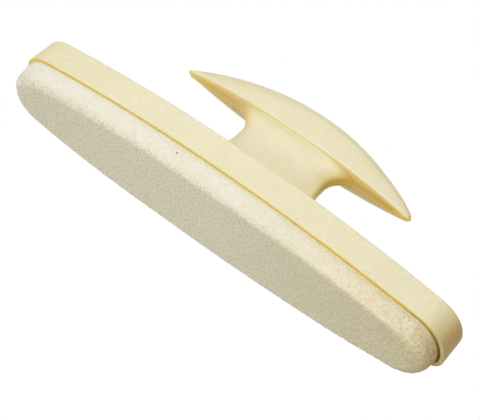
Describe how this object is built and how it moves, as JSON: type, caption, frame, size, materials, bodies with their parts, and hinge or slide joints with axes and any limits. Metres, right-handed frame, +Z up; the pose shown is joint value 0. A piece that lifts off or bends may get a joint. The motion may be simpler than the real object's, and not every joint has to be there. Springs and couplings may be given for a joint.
{
  "type": "nail buffer",
  "caption": "Nail buffer: long bow-sided tray with a leaf-shaped finger grip on a waisted neck, which lifts off its chamois pad cartridge.",
  "frame": {"origin": "centre of the buffer's length and width, on the plane of the pad's working face", "axes": "+X along the tray, +Z up from the pad's working face to the grip, Y across the tray"},
  "size_m": [0.14, 0.0306, 0.0433],
  "materials": {
    "ivory_satin": "ivory moulded plastic with a fine satin grain",
    "ivory_gloss": "ivory moulded plastic, polished",
    "chamois": "napped cream chamois leather",
    "wool_felt": "pressed wool felt",
    "beech_board": "sawn beech plywood",
    "plated_steel": "zinc plated"
  },
  "bodies": {
    "pad_cartridge": {"chamois_cover": "chamois", "felt_pad": "wool_felt", "backing_board": "beech_board", "hem_staple_01": "plated_steel", "hem_staple_02": "plated_steel", "hem_staple_03": "plated_steel", "hem_staple_04": "plated_steel", "hem_staple_05": "plated_steel", "hem_staple_06": "plated_steel", "hem_staple_07": "plated_steel", "hem_staple_08": "plated_steel", "hem_staple_09": "plated_steel", "hem_staple_10": "plated_steel"},
    "tray_and_handle": {"tray": "ivory_satin", "handle": "ivory_gloss", "handle_screw_left": "plated_steel", "handle_screw_right": "plated_steel"}
  },
  "joints": [
    {"name": "tray_lift", "type": "slide", "parent": "pad_cartridge", "child": "tray_and_handle", "axis": [0, 0, 1], "range_m": [0, 0.012]}
  ]
}
